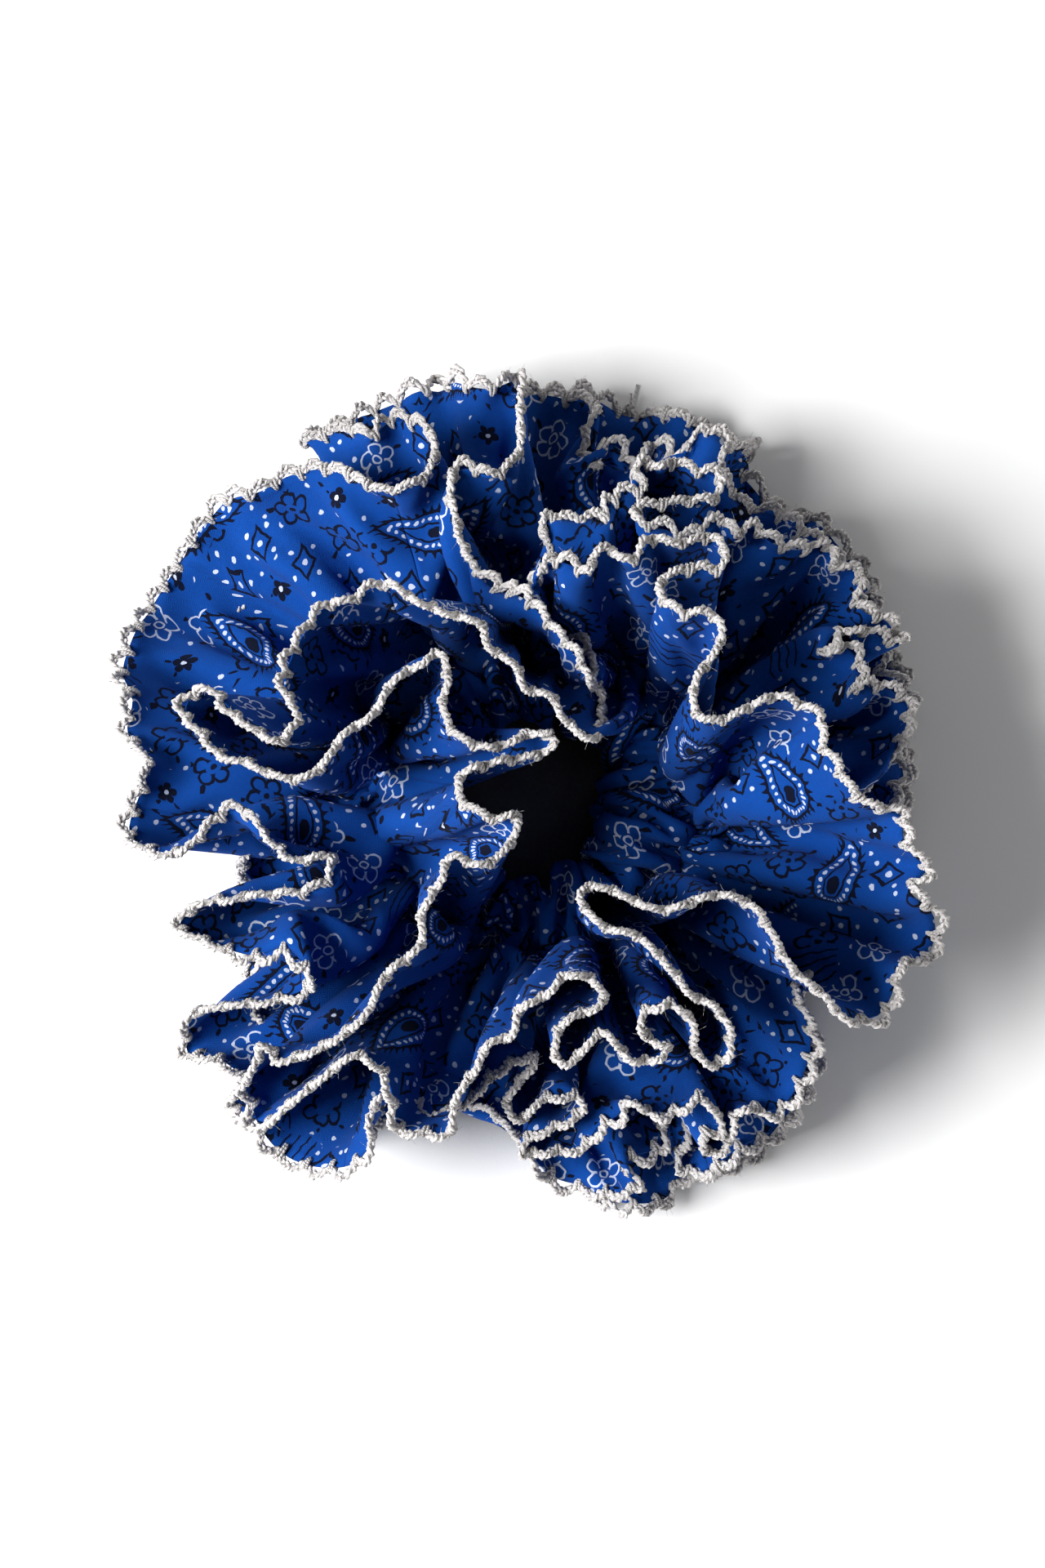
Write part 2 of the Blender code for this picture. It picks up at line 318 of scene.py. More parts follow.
def frill_sheet(frill, gathers, random):
    """Rows of points from the stitches, row 0, to the free edge."""
    edge, angles = frill_edge(frill)
    shares = row_shares(ROWS)
    base = around(angles, ROW_RADIUS, RING_HEIGHT + frill["start"])
    reach = edge - base
    level = unit(reach * [1, 1, 0])
    upward = unit(np.array([0, 0, 1]) - level * 0.35 * np.sign(reach[:, 2:]))
    arch = frill["bulge"] * np.linalg.norm(reach, axis=1) * 4
    rise = shares * (1 - shares) * (1 - 0.5 * shares)
    sheet = base + reach * shares[:, None, None] + upward * (arch * rise[:, None])[..., None]
    sheet = pleated(sheet, shares, angles, gathers, random)
    sheet = settled_frill(sheet)
    return sheet, angles


def pull(points, moved, down, along, rest, strength, keep=1.0):
    """Adds the moves that bring points so far apart to their rest distance, or at least to it."""
    last = len(points) - down
    first, second = points[:last], np.roll(points[down:], -along, axis=1)
    apart = second - first
    length = np.sqrt((apart * apart).sum(axis=-1)) + 1e-6
    excess = length - rest * keep
    if keep < 1:
        excess = np.minimum(excess, 0)
    move = apart * (0.5 * strength * excess / length)[..., None]
    moved[:last] += move
    moved[down:] -= np.roll(move, along, axis=1)


def settled(sheet, beside, down, confine, sag=0.002):
    """The sheet after its cloth has settled between its first and last rows, which stay where they are.

    beside and down are the cloth's own distances between its columns and rows; confine keeps it off things.
    """
    slant = np.sqrt(down**2 + beside[:-1] ** 2)
    two_down, four_down = down[1:] + down[:-1], down[3:] + down[2:-1] + down[1:-2] + down[:-3]
    points, before = sheet.astype(np.float32), sheet.astype(np.float32)
    for step in range(SETTLING):
        moved = np.zeros_like(points)
        pull(points, moved, 0, 1, beside, 1.0)
        pull(points, moved, 1, 0, down, 1.0)
        pull(points, moved, 1, 1, slant, 0.35)
        pull(points, moved, 1, -1, slant, 0.35)
        pull(points, moved, 0, 2, beside * 2, 0.8, keep=0.97)
        pull(points, moved, 0, 5, beside * 5, 0.5, keep=0.86)
        pull(points, moved, 2, 0, two_down, 0.6, keep=0.995)
        pull(points, moved, 4, 0, four_down, 0.6, keep=0.985)
        moved *= 0.42
        moved[..., 2] -= sag
        momentum = 0.82 * (points - before)
        before = points
        points = confine(points + momentum + moved)
        points[0], points[-1] = sheet[0], sheet[-1]
    return points.astype(float)


def settled_frill(sheet):
    shares = row_shares(len(sheet))
    lengths = row_lengths(sheet)[-1]
    width = np.maximum(lengths, np.percentile(lengths, 70)) * 1.01
    at_base = np.linalg.norm(np.roll(sheet[0], -1, axis=0) - sheet[0], axis=1)
    drawn = smooth_step(shares, -0.1, 0.62)[:, None]
    beside = COLUMN * drawn + smoothed(at_base, 4) * (1 - drawn)
    down = np.diff(shares)[:, None] * width
    return settled(sheet, beside, down, lambda points: lifted(points, CLOTH_LIFT))


def lifted(points, height):
    """The points, with none of them lower than this above the floor."""
    points[..., 2] = np.maximum(points[..., 2], FLOOR + height)
    return points


def smooth_step(values, start, end):
    share = np.clip((values - start) / (end - start), 0, 1)
    return share * share * (3 - 2 * share)


def row_shares(rows):
    return np.linspace(0, 1, rows) ** 1.15


def pleated(sheet, shares, angles, gathers, random):
    """The sheet with gathers standing off it, deep at the stitches and gone before the edge."""
    count = sheet.shape[1]
    along = np.arange(count) * COLUMN
    drift = wander(random, count, 9 / COLUMN)
    depth = 1 + 0.45 * wander(random, count, 8 / COLUMN)
    fine = np.sin(math.tau * along / PLEAT + 1.6 * drift)
    wide = np.sin(math.tau * along / (2.7 * PLEAT) + 1.3 * np.roll(drift, 31))
    across = np.roll(sheet, -1, axis=1) - np.roll(sheet, 1, axis=1)
    normal = unit(np.cross(across, np.gradient(sheet, axis=0)))
    away = shares[:, None]
    rise = 1.2 * np.exp(-(away / 0.10) ** 2) * gathers.fold(angles)
    rise = rise + 1.4 * depth * np.exp(-((away - 0.16) / 0.17) ** 2) * fine
    rise = rise + 1.9 * depth * np.exp(-((away - 0.42) / 0.26) ** 2) * wide
    return sheet + normal * rise[..., None]


# ---- Meshes cut at the sectors' middles ----


def sector_cuts(angles):
    """For each sector, its columns' places along the closed row, cut exactly at both ends, and shares."""
    ringed = np.concatenate([angles, angles + math.tau, angles[:1] + 2 * math.tau])
    first = math.ceil(angles[0] / STEP)
    for turn in range(first, first + SECTORS):
        start, end = turn * STEP, (turn + 1) * STEP
        inner = ringed[(ringed > start + 1e-5) & (ringed < end - 1e-5)]
        places = np.concatenate([[start], inner, [end]])
        position = np.interp(places, ringed, np.arange(len(ringed)))
        yield turn % SECTORS, position, (places - start) / STEP


def taken(rows, position):
    """The values of closed rows, laid along the last axis but one, at places between their columns."""
    low = np.floor(position).astype(int)
    part = (position - low)[:, None]
    count = rows.shape[-2]
    return rows[..., low % count, :] * (1 - part) + rows[..., (low + 1) % count, :] * part


class Patch:
    """Points, faces, and each point's place in the cloth or yarn and share of the way across a sector."""

    def __init__(self):
        self.points, self.faces, self.places, self.shares, self.count = [], [], [], [], 0

    def grid(self, points, places, shares, closed=False):
        """A grid of points, whose second axis closes on itself where that is asked for."""
        rows, columns = points.shape[:2]
        index = np.arange(rows * columns).reshape(rows, columns)
        if closed:
            index = np.concatenate([index, index[:, :1]], axis=1)
        corners = index[:-1, :-1], index[:-1, 1:], index[1:, 1:], index[1:, :-1]
        self.points.append(points.reshape(-1, 3))
        self.faces.append(np.stack(corners, axis=-1).reshape(-1, 4) + self.count)
        self.places.append(np.broadcast_to(places, points.shape[:2] + (2,)).reshape(-1, 2))
        self.shares.append(np.broadcast_to(shares, points.shape[:2]).reshape(-1))
        self.count += rows * columns

    def cap(self, start, sides, flip):
        """Closes the ring of points that starts here with a fan of quads."""
        ring = start + np.arange(sides)
        half = [[ring[0], ring[i], ring[i + 1], ring[i + 2]] for i in range(1, sides - 2, 2)]
        self.faces.append(np.array([face[::-1] if flip else face for face in half]))

    def mesh(self, name):
        points, faces = np.concatenate(self.points), np.concatenate(self.faces)
        mesh = bpy.data.meshes.new(name)
        mesh.vertices.add(len(points))
        mesh.vertices.foreach_set("co", (points * MM).astype(np.float32).ravel())
        mesh.loops.add(faces.size)
        mesh.loops.foreach_set("vertex_index", faces.astype(np.int32).ravel())
        mesh.polygons.add(len(faces))
        mesh.polygons.foreach_set("loop_start", np.arange(len(faces), dtype=np.int32) * 4)
        mesh.update(calc_edges=True)
        mesh.polygons.foreach_set("use_smooth", np.ones(len(faces), bool))
        places = mesh.attributes.new("place_mm", "FLOAT_VECTOR", "POINT")
        flat = np.column_stack([np.concatenate(self.places), np.zeros(len(points))])
        places.data.foreach_set("vector", flat.astype(np.float32).ravel())
        shares = mesh.attributes.new("stretch_share", "FLOAT", "POINT")
        shares.data.foreach_set("value", np.concatenate(self.shares).astype(np.float32))
        return mesh


def show(name, patch, material, sector, nodes, thickness=0):
    """Shows a patch as a piece that stands for these nodes, whose parts it hides."""
    obj = bpy.data.objects.new(name, patch.mesh(name))
    bpy.context.scene.collection.objects.link(obj)
    obj.data.materials.append(material)
    if thickness:
        solid = obj.modifiers.new("thickness", "SOLIDIFY")
        solid.thickness, solid.offset = thickness * MM, 0
        graph = bpy.context.evaluated_depsgraph_get()
        mesh = bpy.data.meshes.new_from_object(obj.evaluated_get(graph), depsgraph=graph)
        obj.modifiers.clear()
        obj.data = mesh
    shares = np.empty(len(obj.data.vertices), np.float32)
    obj.data.attributes["stretch_share"].data.foreach_get("value", shares)
    ends = (Vector(around(np.float64(STEP * turn), ROW_RADIUS * MM, 0)) for turn in (sector, sector + 1))
    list(ends)
    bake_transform(obj)
    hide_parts(*nodes)
    return obj


def show_ring(name, patches, material, node, thickness=0):
    """Shows a patch for each sector, each standing for the frame's node of the same number."""
    for sector, patch in enumerate(patches):
        number = sector + 1
        show(f"{name}_{number}", patch, material, sector, [f"{node}_{number}"], thickness)


def tube(path, normal, radius, sides):
    """Rings of points round a path, as rings, sides and xyz."""
    tangent = unit(np.gradient(path, axis=0))
    normal = unit(normal - tangent * (normal * tangent).sum(axis=1, keepdims=True))
    other = np.cross(tangent, normal)
    turns = (np.arange(sides) * math.tau / sides)[:, None]
    ring = normal[:, None] * np.cos(turns) + other[:, None] * np.sin(turns)
    return path[:, None] + ring * radius


def add_tube(patch, path, normal, radius, sides, shares, run):
    """Adds a capped tube, with its length along the yarn and its turn round it kept as its place."""
    start = patch.count
    turn = np.arange(sides) / sides
    places = np.stack(np.broadcast_arrays(run[:, None], turn[None]), axis=-1)
    patch.grid(tube(path, normal, radius, sides), places, shares[:, None], closed=True)
    patch.cap(start, sides, flip=False)
    patch.cap(start + (len(path) - 1) * sides, sides, flip=True)


def add_short_tube(patch, path, normal, radius, sides, share, run):
    """Adds a tube so short that one direction and one share of the sector serve all of it."""
    normals, shares = np.broadcast_to(normal, path.shape), np.full(len(path), share)
    add_tube(patch, path, normals, radius, sides, shares, run)


def new_patches():
    return [Patch() for _ in range(SECTORS)]


# ---- Cotton ----


def row_lengths(sheet):
    """How far each point lies from the stitches, measured along the cloth."""
    steps = np.linalg.norm(np.diff(sheet, axis=0), axis=-1)
    return np.concatenate([np.zeros((1, sheet.shape[1])), np.cumsum(steps, axis=0)])


def add_sheet(patches, sheet, angles, column, offset=0.0, side=1):
    """Adds the sheet to the sectors' patches, with each point's place in the cloth."""
    lengths = side * row_lengths(sheet)[..., None]
    for sector, position, shares in sector_cuts(angles):
        across = taken(lengths, position)[..., 0]
        along = np.broadcast_to(position * column + offset, across.shape)
        patches[sector].grid(taken(sheet, position), np.stack([along, across], axis=-1), shares)


def channel_sheet(size, gathers, puffed):
    """The folded cloth in puffs round the elastic: rows go round the elastic, columns round the ring."""
    angles = np.linspace(0, math.tau, CHANNEL_COLUMNS, endpoint=False)
    turns = np.radians(np.linspace(12, 348, CHANNEL_ROWS))[:, None]
    inner = np.sin(turns / 2) ** 2
    half_width, half_height = size
    facing = (angles + math.radians(10) + math.pi) % math.tau - math.pi
    swell = puffed * inner**2 * (4.5 * np.exp(-(facing / 0.6) ** 2) + 0.9 * gathers.at(angles, gathers.puff))
    folds = 0.8 * (1 - inner) * gathers.fold(angles)
    folds = folds + puffed * inner * 1.6 * gathers.fold(angles, 17, 0.5 * turns)
    folds = folds + puffed * inner * 0.5 * gathers.fold(angles, 39, turns)
    middle = ROW_RADIUS + 0.2 - half_width
    radius = middle + (half_width + swell + folds) * np.cos(turns)
    height = RING_HEIGHT + (half_height + 0.5 * swell + folds) * np.sin(turns)
    sheet = np.stack([radius * np.cos(angles), radius * np.sin(angles), height + 0 * radius], axis=-1)
    if puffed:
        down = np.linalg.norm(np.diff(sheet, axis=0), axis=-1).mean(axis=0)[None] * 1.04
        down = down + np.zeros((CHANNEL_ROWS - 1, 1))
        beside = np.linalg.norm(np.roll(sheet, -1, axis=1) - sheet, axis=-1).mean(axis=1)[:, None]
        beside = beside + (CHANNEL_COLUMN - beside) * smooth_step(inner, 0.0, 0.5)
        sheet = settled(sheet, beside + np.zeros((1, len(angles))), down, round_elastic, sag=0.0)
    return sheet, angles


def round_elastic(points):
    """Keeps the channel's cloth outside its elastic, and off the hair that fills the ring."""
    distance = np.hypot(points[..., 0], points[..., 1])
    across, up = distance - RING_RADIUS, points[..., 2] - RING_HEIGHT
    size = np.hypot(across, up)
    push = np.maximum(1, 4.4 / np.maximum(size, 0.1))
    wanted = np.maximum(RING_RADIUS + across * push, HAIR_RADIUS)
    points[..., 2] = np.clip(RING_HEIGHT + up * push, FLOOR + 1.5, RING_HEIGHT + 11)
    points[..., :2] *= (wanted / distance)[..., None]
    return points


# ---- Crocheted edging ----


def edge_frame(sheet, angles):
    """The free edge's path in steps of a third of a column, and the ways out of the cloth and through it."""
    count = sheet.shape[1]
    outward = unit(smoothed(sheet[-1] - sheet[-4], 1.5))
    position = np.arange(count * 3) / 3
    path, out = taken(sheet[-1], position), unit(taken(outward, position))
    tangent = unit(np.roll(path, -1, axis=0) - np.roll(path, 1, axis=0))
    through = unit(np.cross(tangent, out))
    turns = np.interp(position, np.arange(count + 1), np.append(angles, angles[0] + math.tau))
    return path, out, through, turns


def add_chain(patches, sheet, angles, random):
    """A crocheted chain: three strands plaited in arches along the edge, tied on where the arches meet."""
    path, out, through, turns = edge_frame(sheet, angles)
    count = len(path)
    step = COLUMN / 3
    arches = round(count * step / ARCH)
    jitter = 0.09 * wander(random, count, 4 / step)
    phase = arches * (np.arange(count) / count) + jitter
    rise = np.abs(np.sin(math.pi * phase)) ** 0.8
    height = 1 + 0.16 * wander(random, count, 5 / step)
    lift = -0.7 + 2.9 * rise * height
    plait = math.tau * round(count * step / PLAIT) * np.arange(count) / count
    for strand in range(3):
        angle = plait + strand * math.tau / 3
        side = (lift + 0.80 * np.sin(angle))[:, None]
        depth = (0.52 * np.sin(2 * angle))[:, None]
        curve = lifted(path + out * side + through * depth, 1.1 * YARN)
        for sector, position, shares in sector_cuts(turns):
            strand_path, strand_side = taken(curve, position), taken(through, position)
            run = position * step + strand * 5
            add_tube(patches[sector], strand_path, strand_side, YARN, 6, shares, run)
            add_fibres(patches[sector], strand_path, shares, random)
    add_ties(patches, path, out, through, turns, phase, random)


def add_fibres(patch, strand, shares, random):
    """Fine loose fibres that stand off a strand of yarn and curl."""
    steps = np.linspace(0, 1, 4)[:, None]
    for place in np.flatnonzero(random.random(len(strand)) < FIBRES):
        away, curl = unit(random.normal(size=3)), unit(random.normal(size=3))
        length = random.uniform(0.7, 1.6)
        path = lifted(strand[place] + length * (steps * away + 0.7 * steps**2 * curl), 0.1)
        add_short_tube(patch, path, curl, FIBRE, 4, shares[place], length * steps[:, 0])


def add_ties(patches, path, out, through, turns, phase, random):
    """A loop of yarn over the cloth's edge wherever two arches of the chain meet."""
    cuts = {sector: (position[0], position[-1]) for sector, position, _ in sector_cuts(turns)}
    whole = np.floor(phase)
    starts = np.where(np.diff(whole) > 0)[0] + 1
    ring = np.linspace(0, math.tau, 11)
    for start in starts:
        for sector, (low, high) in cuts.items():
            place = start if start > low + 2 else start + len(path)
            if low + 2 <= place <= high - 2:
                break
        else:
            continue
        share = tie_share(turns, place, sector)
        tangent = unit(np.cross(out[start], through[start]))
        reach = 1.35 * (1 + 0.25 * random.normal())
        for side in (-0.33, 0.33):
            centre = path[start] - out[start] * (0.15 + 0.1 * random.normal()) + tangent * side
            loop = centre + out[start] * (reach * np.cos(ring))[:, None]
            loop = loop + through[start] * (0.85 * np.sin(ring))[:, None]
            loop = loop + tangent * (side * 0.6 * np.cos(ring))[:, None]
            add_short_tube(patches[sector], lifted(loop, 0.4), tangent, TIE_YARN, 6, share, ring * 2)


def add_tails(patches, path, out, through, turns, random):
    """The two ends of the yarn, left loose where the edging starts and finishes."""
    for sector, position, shares in sector_cuts(turns):
        place = np.searchsorted(shares, (TAIL_ANGLE / STEP) % 1)
        if sector != int(TAIL_ANGLE / STEP) or not 0 < place < len(shares):
            continue
        start, outward, side = (taken(row, position[place:place + 1])[0] for row in (path, out, through))
        steps = np.linspace(0, 1, 9)[:, None]
        for length, lean in ((6.5, 0.7), (4.5, -0.5)):
            curl = unit(side * lean + 0.3 * random.normal(size=3))
            tail = lifted(start + length * (steps * outward + 0.6 * steps**2 * curl), 0.5)
            add_short_tube(patches[sector], tail, side, TAIL_YARN, 6, shares[place], length * steps[:, 0])


def tie_share(turns, place, sector):
    angle = np.interp(place, np.arange(2 * len(turns)), np.concatenate([turns, turns + math.tau]))
    return float(np.clip((angle / STEP - sector) % SECTORS, 0, 1))


# ---- The elastic and the threads ----


def shares_of(angles, sector):
    return angles / STEP - sector


def add_band(patch, radius, half_height, angles, run, sector):
    """Adds a flat capped band on edge round the ring, ten points round with softened corners."""
    outline = [
        (-1, 0), (-1, 0.9), (-0.5, 1), (0.5, 1), (1, 0.9),
        (1, 0), (1, -0.9), (0.5, -1), (-0.5, -1), (-1, -0.9)]
    turn = np.array([0, 3, 3.6, 4.2, 5, 8, 11, 11.6, 12.2, 13])
    corners = [
        around(angles, radius + ELASTIC_THICKNESS / 2 * outward, RING_HEIGHT + half_height * up)
        for outward, up in outline]
    places = np.stack(np.broadcast_arrays(run[:, None], turn[None]), axis=-1)
    patch.grid(np.stack(corners, axis=1), places, shares_of(angles, sector)[:, None], closed=True)
    patch.cap(0, len(outline), flip=False)
    patch.cap((len(angles) - 1) * len(outline), len(outline), flip=True)


def build_elastic(material):
    patches = new_patches()
    for sector, patch in enumerate(patches):
        angles = np.linspace(sector * STEP, (sector + 1) * STEP, 61)
        ripple = ELASTIC_HALF * (1 + 0.025 * np.cos(angles * 150))
        add_band(patch, RING_RADIUS - ELASTIC_THICKNESS / 2, ripple, angles, angles * RING_RADIUS, sector)
    show_ring("elastic", patches, material, "elastic_band")


def build_join(elastic, thread):
    """The elastic's overlapped end, with the zigzag that sews it down."""
    sector = SECTORS - 1
    radius = RING_RADIUS + 0.4 + ELASTIC_THICKNESS / 2
    angles = np.radians(np.linspace(*OVERLAP, 28))
    tail = Patch()
    add_band(tail, radius, 0 * angles + ELASTIC_HALF, angles, angles * radius, sector)
    show("elastic_sewn_end", tail, elastic, sector, ["elastic_overlap_end"])
    angles = np.radians(np.linspace(*ZIGZAG, 81))
    sway = np.abs(((angles - angles[0]) / math.radians(ZIGZAG[1] - ZIGZAG[0]) * 9) % 2 - 1) * 2 - 1
    path = around(angles, radius + ELASTIC_THICKNESS / 2 + 0.3, RING_HEIGHT + 0.6 * ELASTIC_HALF * sway)
    zigzag = Patch()
    outward, shares = around(angles, 1.0, 0), shares_of(angles, sector)
    add_tube(zigzag, path, outward, THREAD, 6, shares, angles * RING_RADIUS)
    show("elastic_zigzag", zigzag, thread, sector, ["elastic_join_stitching"])


def build_closing(thread, sheet):
    """The hand stitches that close the channel where its cloth's ends meet, whipped over the seam."""
    column = CLOSING_ANGLE / math.tau * sheet.shape[1]
    seam, before, after = (taken(sheet, np.array([column + step]))[:, 0] for step in (0, -1, 1))
    along = unit(after - before)
    outward = unit(np.cross(np.gradient(seam, axis=0), along))
    middle = around(np.float64(CLOSING_ANGLE), RING_RADIUS, RING_HEIGHT)
    outward *= np.sign(((seam - middle) * outward).sum(axis=1, keepdims=True))
    rows = np.linspace(8, 24, 145)
    seam, along, outward = (
        np.stack([np.interp(rows, np.arange(len(part)), part[:, axis]) for axis in range(3)], axis=1)
        for part in (seam, along, outward))
    whip = np.linspace(0, 12 * math.tau, len(rows))[:, None]
    path = seam + along * 0.9 * np.cos(whip) + outward * (0.15 + 0.28 * np.sin(whip))
    patch = Patch()
    shares = np.full(len(rows), CLOSING_ANGLE / STEP - (SECTORS - 1))
    add_tube(patch, path, outward, THREAD, 6, shares, rows)
    show("closing_hand_stitches", patch, thread, SECTORS - 1, ["closing_stitching"])


def build_row(thread):
    """The row of stitches just outside the elastic, a thread that runs up and down through every layer."""
    patches = new_patches()
    for sector, patch in enumerate(patches):
        angles = np.linspace(sector * STEP, (sector + 1) * STEP, 140)
        wave = np.clip(2.2 * np.sin(angles * 84), -1, 1)
        path = around(angles, STITCH_RADIUS, 0) + np.outer(wave * 2.6 + RING_HEIGHT, [0, 0, 1])
        outward, shares = around(angles, 1.0, 0), shares_of(angles, sector)
        add_tube(patch, path, outward, THREAD, 6, shares, angles * STITCH_RADIUS)
    show_ring("channel_stitches", patches, thread, "channel_stitching")


# ---- Materials ----


class Term:
    """A value in a material's nodes, so that a pattern can be written as sums."""

    def __init__(self, tree, socket):
        self.tree, self.socket = tree, socket

    def math(self, operation, *others, clamp=False):
        node = self.tree.nodes.new("ShaderNodeMath")
        node.operation, node.use_clamp = operation, clamp
        for slot, value in zip(node.inputs, (self, *others)):
            plug(self.tree, value, slot)
        return Term(self.tree, node.outputs[0])

    def __add__(self, other):
        return self.math("ADD", other)

    def __sub__(self, other):
        return self.math("SUBTRACT", other)

    def __rsub__(self, other):
        return self.math("MULTIPLY_ADD", -1, other)

    def __mul__(self, other):
        return self.math("MULTIPLY", other)

    def __truediv__(self, other):
        return self.math("DIVIDE", other)

    def __abs__(self):
        return self.math("ABSOLUTE")

    def below(self, limit, soft=0.09):
        """1 where the value is below the limit and 0 where it is above, with a soft step between."""
        return self.math("MULTIPLY_ADD", -1 / soft, limit / soft + 0.5, clamp=True)

    def above(self, limit, soft=0.09):
        return self.math("MULTIPLY_ADD", 1 / soft, 0.5 - limit / soft, clamp=True)


def plug(tree, value, slot):
    if isinstance(value, Term):
        tree.links.new(value.socket, slot)
    else:
        slot.default_value = value


def far(x, y):
    return (x * x + y * y).math("SQRT")


def least(first, *others):
    for other in others:
        first = first.math("MINIMUM", other)
    return first


def most(first, *others):
    for other in others:
        first = first.math("MAXIMUM", other)
    return first


def turned(x, y, angle):
    cosine, sine = angle.math("COSINE"), angle.math("SINE")
    return x * cosine - y * sine, x * sine + y * cosine


def cells(x, y, width, height, seed):
    """Staggered cells: the place from the cell's middle, and three random numbers for the cell."""
    tree = x.tree
    row = (y / height).math("FLOOR")
    across = x / width + row * 0.5
    column = across.math("FLOOR")
    local = (across - column - 0.5) * width, (y / height - row - 0.5) * height
    joined = tree.nodes.new("ShaderNodeCombineXYZ")
    for slot, value in zip(joined.inputs, (column, row, seed)):
        plug(tree, value, slot)
    noise = tree.nodes.new("ShaderNodeTexWhiteNoise")
    tree.links.new(joined.outputs[0], noise.inputs["Vector"])
    split = tree.nodes.new("ShaderNodeSeparateColor")
    tree.links.new(noise.outputs["Color"], split.inputs[0])
    return *local, [Term(tree, socket) for socket in split.outputs]


def petals(x, y, count, reach, size, heart):
    """How far a point lies outside a flower, and the point's place along and beside its nearest petal."""
    step = math.tau / count
    angle = y.math("ARCTAN2", x)
    nearest = (angle / step).math("ROUND") * step
    radius = far(x, y)
    away = angle - nearest
    ahead, beside = radius * away.math("COSINE"), radius * away.math("SINE")
    return least(far(ahead - reach, beside) - size, radius - heart), ahead, beside, radius


def paisley(x, y):
    """White and black ink of a large teardrop with spikes, dots and a dark core, and the room it takes."""
    u, v, chance = cells(x, y, 35.0, 26.0, 3.1)
    u, v = turned(u, v, chance[0] * math.tau)
    u = u - v * v * 0.022
    share = ((v + 6.5) / 18.5).math("MAXIMUM", 0.002).math("MINIMUM", 0.998)
    root = share.math("SQRT")
    width = root * (1 - share) * 11.4
    slope = (root.math("POWER", -1) * 0.5 - root * 1.5) * (11.4 / 18.5)
    outside = (abs(u) - width) / (slope * slope + 1).math("SQRT")
    outside = most(outside, v * -1 - 6.3, v - 11.8)
    angle = (u * 1.9).math("ARCTAN2", v - 0.5)
    spike = abs((angle * (30 / math.tau)).math("FRACT") - 0.5)
    spikes = (outside + spike * 4.0).below(1.55) * outside.above(0)
    ring = abs(outside).below(0.34)
    flank = v.above(-2.0, 0.01)
    beads = ((v * 0.62).math("FRACT") - 0.5) / 0.62 * flank
    beads = beads + ((angle * (26 / math.tau)).math("FRACT") - 0.5) * (1 - flank) * 1.5
    dots = far(outside + 1.4, beads).below(0.46)
    core = far(u, (v + 1.0) * 0.6).below(1.25)
    inner = abs(outside + 2.5).below(0.22)
    stripes = abs((u / 1.9).math("FRACT") - 0.5).below(0.11) * most(abs(u) - 3.6, abs(v) - 8).below(0)
    lines = chance[1].below(0.16, 0.001)
    here = chance[1].below(0.80, 0.001)
    room = outside.below(2.2, 0.3) * (1 - lines)
    black = most(ring, spikes, core, inner) * (1 - lines)
    white = dots * (1 - lines)
    room = most(room, most(abs(u) - 4.4, abs(v) - 8.6).below(0) * lines)
    return white * here, most(black, stripes * lines) * here, room * here


def motifs(x, y):
    """White and black ink of the small diamonds, flowers and leaves, and the room they take."""
    u, v, chance = cells(x, y, 12.4, 11.0, 7.7)
    kind = chance[0]
    u = u + (chance[1] - 0.5) * 1.6
    v = v + (chance[2] - 0.5) * 1.2
    u, v = turned(u, v, chance[2] * 1.2 - 0.6)
    diamond = (abs(u) / 2.7).math("POWER", 0.85) + (abs(v) / 3.7).math("POWER", 0.85)
    frame_line = abs(diamond - 1.0).below(0.15, 0.03)
    corner = far(abs(u) - 2.9, abs(v) - 2.7)
    dots = least(far(u, v) - 0.1, corner).below(0.56)
    is_diamond = kind.below(0.40, 0.001)
    is_white_flower = kind.below(0.62, 0.001) * kind.above(0.40, 0.001)
    is_small = kind.above(0.88, 0.001)
    is_flower = kind.above(0.40, 0.001) * (1 - is_small)
    scale = is_small * 0.75 + 1
    flower, ahead, beside, radius = petals(u * scale, v * scale, 5, 2.6, 1.5, 1.9)
    outline = abs(flower).below(0.23)
    thick = abs(flower).below(0.33)
    heart = abs(radius - 0.95).below(0.22)
    leaf = least(
        far((ahead - 5.5) * 0.5, beside) - 0.2 + chance[1] * 0.35,
        far(abs(u) - 3.2, abs(v + 4.4) * 0.6) - 0.2)
    leaves = leaf.below(0.50) * (u + v).above(0.4)
    filled = flower.below(0)
    white = most(dots * is_diamond, most(outline, heart) * is_white_flower, radius.below(0.9) * is_small)
    black = most(
        frame_line * is_diamond,
        leaves * (1 - is_diamond),
        most(thick, radius.below(0.7)) * is_flower * (1 - is_white_flower),
        filled * (1 - radius.below(0.9)) * is_small)
    return white, black, far(u, v).below(5.0)


def scattered_dots(x, y):
    u, v, chance = cells(x, y, 4.1, 3.9, 1.3)
    u, v = u + (chance[1] - 0.5) * 1.4, v + (chance[2] - 0.5) * 1.4
    white = far(u, v).below(0.56) * chance[0].below(0.36, 0.001)
    return white, far(u, v).below(0.65) * chance[0].above(0.92, 0.001)


def new_material(name, roughness, sheen):
    material = bpy.data.materials.new(name)
    material.use_nodes = True
    tree = material.node_tree
    shader = tree.nodes["Principled BSDF"]
    shader.inputs["Roughness"].default_value = roughness
    shader.inputs["Specular IOR Level"].default_value = 0.08
    shader.inputs["Sheen Weight"].default_value = sheen
    shader.inputs["Sheen Roughness"].default_value = 0.5
    attribute = tree.nodes.new("ShaderNodeAttribute")
    attribute.attribute_name = "place_mm"
    along, across, _ = split_vector(tree, attribute.outputs["Vector"])
    return material, tree, shader, attribute, along, across


